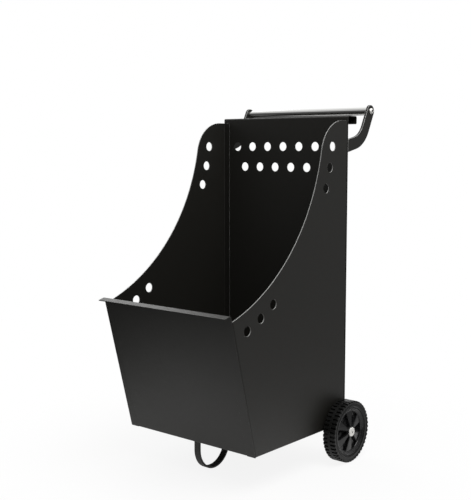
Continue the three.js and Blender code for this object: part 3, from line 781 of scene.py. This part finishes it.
# Polypropylene moulded against a polished tool: near black, with a sharp highlight that a
# slight sink and swell of the skin, 12 mm across, keeps from being perfect.
SINK = 12.0
SPECK = 0.8
rim_plastic, tree, shader = start_material("polypropylene_moulded_gloss")
shader.inputs["IOR"].default_value = 1.4
place = add_node(tree, "ShaderNodeTexCoord").outputs["Object"]
sink = add_node(
    tree, "ShaderNodeTexNoise", {"Scale": 1 / (SINK * MM), "Detail": 2.0}, {"Vector": place}
)
grain = add_node(
    tree, "ShaderNodeTexNoise", {"Scale": 1 / (SPECK * MM), "Detail": 2.0}, {"Vector": place}
)
black = add_node(
    tree,
    "ShaderNodeMix",
    {"A": linear("#131314"), "B": linear("#19191a")},
    {"Factor": sink.outputs["Fac"]},
    data_type="RGBA",
)
gloss = add_node(
    tree, "ShaderNodeMapRange", {"To Min": 0.1, "To Max": 0.18}, {"Value": grain.outputs["Fac"]}
)
skin = add_node(
    tree,
    "ShaderNodeBump",
    {"Strength": 0.15, "Distance": 0.2 * MM},
    {"Height": sink.outputs["Fac"]},
)
tree.links.new(black.outputs["Result"], shader.inputs["Base Color"])
tree.links.new(gloss.outputs["Result"], shader.inputs["Roughness"])
tree.links.new(skin.outputs["Normal"], shader.inputs["Normal"])

rim_line = (
    (AXLE_BORE, -HUB_BACK),
    (HUB_RADIUS, -HUB_BACK),
    (HUB_RADIUS, HUB_FRONT - WEB),
    (RIM_INNER, WEB_FRONT - WEB),
    (RIM_INNER + RIM_DRAFT, -FLANGE),
    (FLANGE_RADIUS, -FLANGE),
    (FLANGE_RADIUS, -SEAT),
    (SEAT_RADIUS, -SEAT),
    (SEAT_RADIUS, SEAT),
    (FLANGE_RADIUS, SEAT),
    (FLANGE_RADIUS, FLANGE),
    (FLANGE_FLAT, FLANGE),
    (CHANNEL[0], FLANGE - CHANNEL_DEPTH),
    (CHANNEL[1], FLANGE - CHANNEL_DEPTH),
    (SHELF[0], FLANGE - SHELF_DEPTH),
    (SHELF[1], FLANGE - SHELF_DEPTH),
    (RIM_INNER, WEB_FRONT),
    (HUB_NOSE, HUB_FRONT),
    (AXLE_BORE, HUB_FRONT),
)
cone_line = (
    (0, -FLANGE),
    (SEAT_RADIUS, -FLANGE),
    (SEAT_RADIUS, WEB_FRONT),
    (RIM_INNER, WEB_FRONT),
    (HUB_NOSE, HUB_FRONT),
    (0, HUB_FRONT),
)


def pocket_outline(middle, grow):
    """The space between two spokes: an arc near the rim, an arc near the hub, and the radii that
    join them, all widened by `grow`, with its corners rounded."""
    inner, outer = HUB_NOSE + POCKET_MARGIN - grow, RIM_INNER - POCKET_MARGIN + grow
    half_inner = POCKET_HALF + np.arcsin(grow / inner)
    half_outer = POCKET_HALF + np.arcsin(grow / outer)
    far = arc((0, 0), outer, middle - half_outer, middle + half_outer, FAR_STEPS)
    near = arc((0, 0), inner, middle + half_inner, middle - half_inner, NEAR_STEPS)
    line = np.concatenate((far, near))
    radii = np.zeros(len(line))
    radii[[0, FAR_STEPS - 1]] = POCKET_OUTER_CORNER + grow
    radii[[FAR_STEPS, -1]] = POCKET_INNER_CORNER + grow
    # The first and last steps of each arc are left out, so that a corner has room for its arc.
    keep = np.delete(np.arange(len(line)), (1, FAR_STEPS - 2, FAR_STEPS + 1, -2))
    return rounded(line[keep], radii[keep], 6)


rim_radii = np.full(len(rim_line), MOULD_EDGE)
rim_radii[[9, 10]] = FLANGE_EDGE  # the two corners of the front flange's rim
rim_section = rounded(rim_line, rim_radii, 5)
bottom = WEB_FRONT - POCKET_DEPTH


def six_times(grow, x0, x1):
    """Six pocket-shaped blocks round the hub, from x0 to x1."""
    middles = [i * np.pi / (SPOKES / 2) for i in range(SPOKES)]
    return together(*(prism(pocket_outline(middle, grow), x0, x1) for middle in middles))


for name, side in (("right", 1), ("left", -1)):
    turned_over = np.array((side, 1, 1))
    wheel = np.array((side * wheel_x, *AXLE))
    solids = {}
    for part, (points, faces) in (
        ("rim", turned(rim_section, (0, 0))),
        ("cone", turned(cone_line, (0, 0), wrap=False)),
        ("cups", six_times(POCKET_WALL, bottom - POCKET_FLOOR, HUB_FRONT + PAST_HUB)),
        ("pockets", six_times(0.0, bottom, HUB_FRONT + 2 * PAST_HUB)),
    ):
        solids[part] = new_piece(f"{part}_{name}", points * turned_over + wheel, faces)
    rim = solids["rim"]
    combine(solids["cups"], solids["cone"], "INTERSECT")
    combine(rim, solids["cups"], "UNION")
    combine(rim, solids["pockets"], "DIFFERENCE")
    soften(rim, MOULD_EDGE, 2, 50)
    rim.data.materials.clear()
    rim.data.materials.append(rim_plastic)
    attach(rim, f"{name}_wheel")
    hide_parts(f"wheel_rim_{name}")


# ---- Tyres ----------------------------------------------------------------------------------
# Solid rubber moulded on the rim. Straight grooves cut both shoulders, the two rows half a
# pitch apart, and leave a rib that zigzags between them.
LUGS = 45  # in each row
GROOVE_WIDTH = 4.3
GROOVE_FLOOR = WHEEL_RADIUS - 4.0
OVERHANG = 1.6  # of the lugs past the sidewalls
BEAD = 0.7  # of the lugs past the bead that runs round each sidewall
BEAD_FROM, BEAD_TO, BEAD_FOOT = 3.2, 5.2, 6.2  # outwards from the flange
LUG_SIDE = 4.5  # from the tread down to where the lugs' sides end
LUG_EDGE = 1.4  # slanted off between the tread and the lugs' sides
CENTRE_RIB = 3.0  # half the width of the middle that no groove reaches
TREAD_ROWS = (9.0, 1.2)  # where the flat tread has further rows of points
SECTION_STEP = 1.6  # the longest step of the section
# How far beside a groove's floor, in mm, and what share of its depth is cut there: a steep wall
# that rolls over into the lug's top.
WALL_AWAY = np.array((0.0, 0.1, 0.22, 0.45))
WALL_CUT = np.array((1.0, 0.18, 0.05, 0.0))

# Moulded rubber: near black with a wet sheen over a fine grain, its gloss uneven over 15 mm.
BLOOM = 15.0
GRAIN = 0.7
tyre_rubber, tree, shader = start_material("rubber_moulded")
shader.inputs["IOR"].default_value = 1.3
place = add_node(tree, "ShaderNodeTexCoord").outputs["Object"]
bloom = add_node(
    tree, "ShaderNodeTexNoise", {"Scale": 1 / (BLOOM * MM), "Detail": 4.0}, {"Vector": place}
)
grain = add_node(
    tree, "ShaderNodeTexNoise", {"Scale": 1 / (GRAIN * MM), "Detail": 3.0}, {"Vector": place}
)
tone = add_node(
    tree,
    "ShaderNodeMix",
    {"A": linear("#101010"), "B": linear("#181817")},
    {"Factor": bloom.outputs["Fac"]},
    data_type="RGBA",
)
gloss = add_node(
    tree, "ShaderNodeMapRange", {"To Min": 0.24, "To Max": 0.36}, {"Value": bloom.outputs["Fac"]}
)
skin = add_node(
    tree,
    "ShaderNodeBump",
    {"Strength": 0.35, "Distance": 0.08 * MM},
    {"Height": grain.outputs["Fac"]},
)
tree.links.new(tone.outputs["Result"], shader.inputs["Base Color"])
tree.links.new(gloss.outputs["Result"], shader.inputs["Roughness"])
tree.links.new(skin.outputs["Normal"], shader.inputs["Normal"])


def tyre_surface(side):
    """A section (radius, x) carried round the wheel. In a groove the radius is cut to the
    groove's floor; a groove's strength rises from 0 to 1 across its wall, in angle and in x."""
    tyre_side = FLANGE + FIT
    tyre_seat = SEAT - FIT
    rim_side = (
        (SEAT_RADIUS + FIT, tyre_seat),
        (FLANGE_RADIUS + FIT, tyre_seat),
        (FLANGE_RADIUS + FIT, tyre_side),
        (FLANGE_RADIUS + BEAD_FROM, TYRE_HALF - BEAD),
        (FLANGE_RADIUS + BEAD_TO, TYRE_HALF - BEAD),
        (FLANGE_RADIUS + BEAD_FOOT, TYRE_HALF - OVERHANG),
        (WHEEL_RADIUS - LUG_SIDE - OVERHANG, TYRE_HALF - OVERHANG),
        (WHEEL_RADIUS - LUG_SIDE, TYRE_HALF),
        (WHEEL_RADIUS - LUG_EDGE, TYRE_HALF),
        (WHEEL_RADIUS, TYRE_HALF - LUG_EDGE),
    )
    groove_rows = CENTRE_RIB + WALL_AWAY[-1] - WALL_AWAY
    tread = [(WHEEL_RADIUS, x) for x in (TREAD_ROWS[0], *groove_rows, TREAD_ROWS[1])]
    half = np.concatenate((rim_side, tread))
    line = np.concatenate((half, half[::-1] * (1, -1)))
    radii = np.zeros(len(half))
    radii[1 : len(rim_side)] = (0.2, 0.5, 0.8, 0.8, 0.5, 0.6, 0.6, 0.9, 0.9)
    section = rounded(line, np.concatenate((radii, radii[::-1])), 6)
    step = np.roll(section, -1, 0) - section
    parts = np.ceil(np.linalg.norm(step, axis=1) / SECTION_STEP)
    parts = np.maximum(1, parts).astype(int)
    start = np.repeat(np.arange(len(section)), parts)
    inside = np.arange(parts.sum()) - np.repeat(np.cumsum(parts) - parts, parts)
    section = section[start] + step[start] * (inside / parts[start])[:, None]

    wheel_pitch = 2 * np.pi / LUGS
    half_groove = GROOVE_WIDTH / 2 / WHEEL_RADIUS
    marks = half_groove + WALL_AWAY / WHEEL_RADIUS
    marks = np.concatenate((-marks, marks))
    middles = (0.0, wheel_pitch / 2)
    offsets = np.concatenate((wheel_pitch / 4 + marks, -wheel_pitch / 4 + marks, middles))
    angle = np.sort((np.arange(LUGS)[:, None] * wheel_pitch + np.sort(offsets)).ravel())

    def strength(row):
        """1 inside a groove of this row, 0 on its lugs."""
        away = (angle - row * wheel_pitch / 4 + wheel_pitch / 2) % wheel_pitch - wheel_pitch / 2
        return np.interp((abs(away) - half_groove) * WHEEL_RADIUS, WALL_AWAY, WALL_CUT)

    x = section[:, 1]
    radius = np.repeat(section[:, :1], len(angle), 1)
    for row in (1, -1):
        across = np.interp(CENTRE_RIB + WALL_AWAY[-1] - row * x, WALL_AWAY, WALL_CUT)
        cut = across[:, None] * strength(row)[None, :]
        radius -= cut * np.maximum(radius - GROOVE_FLOOR, 0)
    points = np.stack((
        np.repeat(x[:, None] * side, len(angle), 1),
        AXLE[0] + radius * np.cos(angle),
        AXLE[1] + radius * np.sin(angle),
    ), -1)
    points[..., 0] += side * wheel_x
    return points.reshape(-1, 3), grid_faces(len(section), len(angle), True)


for name, side in (("right", 1), ("left", -1)):
    tyre = new_piece(f"tyre_moulding_{name}", *tyre_surface(side))
    tyre.data.set_sharp_from_angle(angle=np.radians(50))
    tyre.data.materials.append(tyre_rubber)
    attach(tyre, f"{name}_wheel")
    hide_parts(f"tyre_{name}")


# ---- Foot -----------------------------------------------------------------------------------
# Flat bar bent to a loop that stands on the ground. Its two ends are turned in under the floor
# and held by a dome-head bolt and a nut each. The strap is coated, the bolts are plated.
STRAP_HALF = 8.5
STRAP = 5.0
STRAP_RADIUS = 55.45
STRAP_TAB = 20.0
STRAP_TOP = SHEET
STRAP_GAP = 3.85  # behind the front's bottom rim
STRAP_STEPS = 28  # points in each of the loop's turns
STRAP_EDGE = 0.7
TAB_BEND = 8.0
BOLT_INSET = 6.0  # of a bolt from its tab's end
BOLT_RADIUS = 2.5
BOLT_SIDES = 32
BOLT_PITCH = 0.8
THREAD_DEPTH = 0.4
BOLT_TIP = 1.9  # radius of the bolt's end
BOLT_PAST_NUT = 1.5
BOLT_HEAD = 5.5
BOLT_HEAD_WALL = 0.9  # height of the head's upright edge
BOLT_HEAD_FLAT = 3.4  # radius of its top, before rounding
BOLT_HEAD_HEIGHT = 2.8
NUT_FLATS = 8.0
NUT_HEIGHT = 4.0
NUT_CHAMFER = np.array(((0, -0.1), (0.3, 0.4), (0.6, 0.9)))  # height, radius past the flats
ground_z = AXLE[1] - WHEEL_RADIUS
floor_top = 2 * SHEET + FIT
strap_y = -DEPTH + RIM + STRAP_GAP + STRAP_RADIUS
bolt_offset = STRAP_RADIUS - STRAP_TAB + BOLT_INSET

strap_line = [
    (strap_y - STRAP_RADIUS + STRAP_TAB, STRAP_TOP),
    (strap_y - STRAP_RADIUS, STRAP_TOP),
    (strap_y - STRAP_RADIUS, ground_z),
    (strap_y + STRAP_RADIUS, ground_z),
    (strap_y + STRAP_RADIUS, STRAP_TOP),
    (strap_y + STRAP_RADIUS - STRAP_TAB, STRAP_TOP),
]
near_radii = np.array((0, TAB_BEND, STRAP_RADIUS, STRAP_RADIUS, TAB_BEND, 0))


def strap_section():
    """The loop's outline: its outer line and, set in by the bar's thickness, its inner line."""
    line = np.asarray(strap_line)
    sink = np.array(((0, -1), (1, -1), (1, 1), (-1, 1), (-1, -1), (0, -1)), float) * STRAP
    far_radii = np.maximum(near_radii - STRAP, 0)
    outer = rounded(line, near_radii, STRAP_STEPS, closed=False)
    inner = rounded(line + sink, far_radii, STRAP_STEPS, closed=False)
    return np.concatenate((outer, inner[::-1]))


strap = new_piece("foot_loop", *prism(strap_section(), -STRAP_HALF, STRAP_HALF))
drills = []
for side in (-1, 1):
    ring = circle((0.0, strap_y + side * bolt_offset), BOLT_RADIUS + FIT, BOLT_SIDES)
    points, faces = prism(ring, STRAP_TOP - 2 * STRAP, STRAP_TOP + STRAP)
    drills.append((points[:, (1, 2, 0)], faces))
combine(strap, new_piece("drills", *together(*drills)), "DIFFERENCE")
soften(strap, STRAP_EDGE, 3)
strap.data.materials.clear()
strap.data.materials.append(powder_coat)
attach(strap, "cart")
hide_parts("foot_strap")

nut_top = STRAP_TOP - STRAP - FIT
bolt_seat = floor_top + FIT
bolt_end = nut_top - NUT_HEIGHT - BOLT_PAST_NUT


def round_z(radius, heights):
    """Points of rows of radii, one a height, at equal angles round an axis along Z."""
    angle = np.linspace(0, 2 * np.pi, radius.shape[1], endpoint=False)
    z = np.repeat(heights[:, None], len(angle), 1)
    points = np.stack((radius * np.cos(angle), radius * np.sin(angle), z), -1)
    return points.reshape(-1, 3)


def threaded_shank(sides=BOLT_SIDES):
    """A shank whose radius follows a triangle wave of height along it and of angle round it, so
    that the crest climbs one pitch a turn; it runs plain into the head's rounded profile."""
    z = np.arange(bolt_end, bolt_seat - 1, BOLT_PITCH / 6)
    angle = np.linspace(0, 2 * np.pi, sides, endpoint=False)
    phase = (z[:, None] / BOLT_PITCH - angle / (2 * np.pi)) % 1
    radius = BOLT_RADIUS - THREAD_DEPTH * abs(2 * phase - 1)
    radius[0] = BOLT_TIP
    head_line = (
        (BOLT_RADIUS, bolt_seat),
        (BOLT_HEAD, bolt_seat),
        (BOLT_HEAD, bolt_seat + BOLT_HEAD_WALL),
        (BOLT_HEAD_FLAT, bolt_seat + BOLT_HEAD_HEIGHT),
        (0, bolt_seat + BOLT_HEAD_HEIGHT),
    )
    head = rounded(head_line, (0, 0.2, 1.2, 2.2, 0), 6, False)
    rows = np.concatenate((np.zeros((1, sides)), radius, np.repeat(head[:, :1], sides, 1)))
    heights = np.concatenate((z[:1], z, head[:, 1]))
    return round_z(rows, heights), grid_faces(len(rows), sides)


def nut_shape(sides=96):
    """A hexagon's radius at each angle, held to a cone at both ends, round a plain bore."""
    angle = np.linspace(0, 2 * np.pi, sides, endpoint=False)
    hexagon = NUT_FLATS / 2 / np.cos((angle + np.pi / 6) % (np.pi / 3) - np.pi / 6)
    up, out = NUT_CHAMFER.T
    up = np.concatenate(((0,), up, NUT_HEIGHT - up[::-1], (NUT_HEIGHT,)))
    cone = NUT_FLATS / 2 + np.concatenate(((0,), out, out[::-1], (0,)))
    radius = np.minimum(hexagon[None], cone[:, None])
    radius[[0, -1]] = BOLT_RADIUS + FIT
    return round_z(radius, nut_top - NUT_HEIGHT + up), grid_faces(len(up), sides, True)


for name, side in (("front", -1), ("rear", 1)):
    offset = np.array((0.0, strap_y + side * bolt_offset, 0.0))
    for piece_name, (points, faces), node in (
        (f"bolt_{name}", threaded_shank(), f"foot_bolt_{name}"),
        (f"nut_{name}", nut_shape(), f"foot_nut_{name}"),
    ):
        piece = new_piece(piece_name, points + offset, faces)
        piece.data.set_sharp_from_angle(angle=np.radians(35))
        piece.data.materials.append(zinc_plate)
        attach(piece, "cart")
        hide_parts(node)


# ---- Studio ---------------------------------------------------------------------------------
# A white floor that fades out round the cart, a soft dome that ends above the horizon, so that
# upright satin faces stay dark, a white paper behind the cart that its mirrored rays meet, two
# soft lamps, and a camera where the photograph was taken from.
FLOOR_RADIUS = 2.2
FLOOR_SIDES = 128
FADE = (0.3, 0.95)  # distances between which the floor fades
NEAR_PAPER = 0.4  # white in the floor that a mirrored ray sees by the cart
SHADOW = 0.12  # how much of the floor's own light and shadow the camera sees
DOME_EDGE = (0.40, 0.50)  # sine of the elevations between which the dome fades
DOME = 0.6  # its strength
DARK = 0.09  # of the room below the dome
BEHIND = 0.3  # of the room behind the cart's right
BEHIND_WAY = (0.6, 0.8, 0.0)
BEHIND_EDGE = (0.2, 0.95)  # cosines between which it begins
SWEEP_WAY = (-0.49, 0.59, 0.64)  # towards the white paper that hangs behind the cart
SWEEP = (0.55, 0.75)  # cosines between which the paper begins


def shown_share(tree, paper):
    """1 for a ray from the camera, and for a ray mirrored or let through by a piece the share of
    white paper in its way: max(camera, paper * max(glossy, transmission))."""
    ray = add_node(tree, "ShaderNodeLightPath")
    bent = add_node(
        tree,
        "ShaderNodeMath",
        {},
        {0: ray.outputs["Is Glossy Ray"], 1: ray.outputs["Is Transmission Ray"]},
        operation="MAXIMUM",
    )
    bent = add_node(
        tree, "ShaderNodeMath", {}, {0: bent.outputs["Value"], 1: paper}, operation="MULTIPLY"
    )
    shown = add_node(
        tree,
        "ShaderNodeMath",
        {},
        {0: ray.outputs["Is Camera Ray"], 1: bent.outputs["Value"]},
        operation="MAXIMUM",
    )
    return shown.outputs["Value"]


stage_material, tree, shader = start_material("studio_floor_paper")
shader.inputs["Base Color"].default_value = linear("#f6f6f5")
shader.inputs["Roughness"].default_value = 0.9
place = add_node(tree, "ShaderNodeTexCoord").outputs["Object"]
distance = add_node(tree, "ShaderNodeVectorMath", {}, {0: place}, operation="LENGTH")
fade = add_node(
    tree,
    "ShaderNodeMapRange",
    {"From Min": FADE[0], "From Max": FADE[1]},
    {"Value": distance.outputs["Value"]},
    interpolation_type="SMOOTHSTEP",
)
clear = add_node(tree, "ShaderNodeBsdfTransparent")
paper = add_node(
    tree,
    "ShaderNodeMixShader",
    {},
    {0: fade.outputs["Result"], 1: shader.outputs["BSDF"], 2: clear.outputs["BSDF"]},
)
backdrop = add_node(tree, "ShaderNodeEmission")
near_cart = add_node(
    tree,
    "ShaderNodeMath",
    {0: NEAR_PAPER},
    {1: fade.outputs["Result"]},
    operation="SUBTRACT",
    use_clamp=True,
)
shown = shown_share(tree, near_cart.outputs["Value"])
lit = add_node(tree, "ShaderNodeMath", {1: 1 - SHADOW}, {0: shown}, operation="MULTIPLY")
mixed = add_node(
    tree,
    "ShaderNodeMixShader",
    {},
    {0: lit.outputs["Value"], 1: paper.outputs["Shader"], 2: backdrop.outputs["Emission"]},
)
tree.links.new(mixed.outputs["Shader"], tree.nodes["Material Output"].inputs["Surface"])
disc_points = np.insert(circle((0.0, 0.0), FLOOR_RADIUS, FLOOR_SIDES), 2, 0.0, axis=1)
disc = bpy.data.meshes.new("studio_floor")
disc.from_pydata(disc_points.tolist(), [], [list(range(FLOOR_SIDES))])
disc.materials.append(stage_material)
studio_floor = bpy.data.objects.new("studio_floor", disc)
bpy.context.scene.collection.objects.link(studio_floor)

world = bpy.data.worlds.new("studio")
world.use_nodes = True
bpy.context.scene.world = world
tree = world.node_tree
tree.nodes.clear()
way = add_node(tree, "ShaderNodeTexCoord").outputs["Generated"]
height = add_node(tree, "ShaderNodeSeparateXYZ", {}, {"Vector": way})
towards = add_node(
    tree, "ShaderNodeVectorMath", {1: BEHIND_WAY}, {0: way}, operation="DOT_PRODUCT"
)
low = add_node(
    tree,
    "ShaderNodeMapRange",
    {"From Min": BEHIND_EDGE[0], "From Max": BEHIND_EDGE[1], "To Min": DARK, "To Max": BEHIND},
    {"Value": towards.outputs["Value"]},
    interpolation_type="SMOOTHSTEP",
)
dome = add_node(
    tree,
    "ShaderNodeMapRange",
    {"From Min": DOME_EDGE[0], "From Max": DOME_EDGE[1], "To Max": DOME},
    {"Value": height.outputs["Z"], "To Min": low.outputs["Result"]},
    interpolation_type="SMOOTHSTEP",
)
sweep = add_node(tree, "ShaderNodeVectorMath", {1: SWEEP_WAY}, {0: way}, operation="DOT_PRODUCT")
behind_cart = add_node(
    tree,
    "ShaderNodeMapRange",
    {"From Min": SWEEP[0], "From Max": SWEEP[1]},
    {"Value": sweep.outputs["Value"]},
    interpolation_type="SMOOTHSTEP",
)
shown = shown_share(tree, behind_cart.outputs["Result"])
seen = add_node(
    tree,
    "ShaderNodeMix",
    {"B": 1.0},
    {"Factor": shown, "A": dome.outputs["Result"]},
    data_type="FLOAT",
)
glow = add_node(
    tree, "ShaderNodeBackground", {"Color": (1, 1, 1, 1)}, {"Strength": seen.outputs["Result"]}
)
add_node(tree, "ShaderNodeOutputWorld", {}, {"Surface": glow.outputs["Background"]})

for name, place, size, energy in (
    ("overhead_softbox", (0.9, -0.3, 2.2), (1.4, 1.4), 30.0),
    ("left_softbox", (-1.6, 0.5, 1.2), (2.0, 1.2), 13.0),
):
    lamp_data = bpy.data.lights.new(name, "AREA")
    lamp_data.shape = "RECTANGLE"
    lamp_data.size, lamp_data.size_y = size
    lamp_data.energy = energy
    lamp = bpy.data.objects.new(name, lamp_data)
    lamp.location = place
    lamp.rotation_euler = (Vector((0, 0, 0.4)) - lamp.location).to_track_quat("-Z", "Y").to_euler()
    bpy.context.scene.collection.objects.link(lamp)

camera_data = bpy.data.cameras.new("camera")
camera_data.lens = 66.953
camera_data.sensor_width = 36.0
camera = bpy.data.objects.new("camera", camera_data)
camera.location = (1.472575, -1.763659, 0.777490)
camera.rotation_euler = np.radians((90 - 6.218, 0.002, 40.168))
bpy.context.scene.collection.objects.link(camera)
bpy.context.scene.camera = camera
bpy.context.scene.view_settings.view_transform = "Standard"
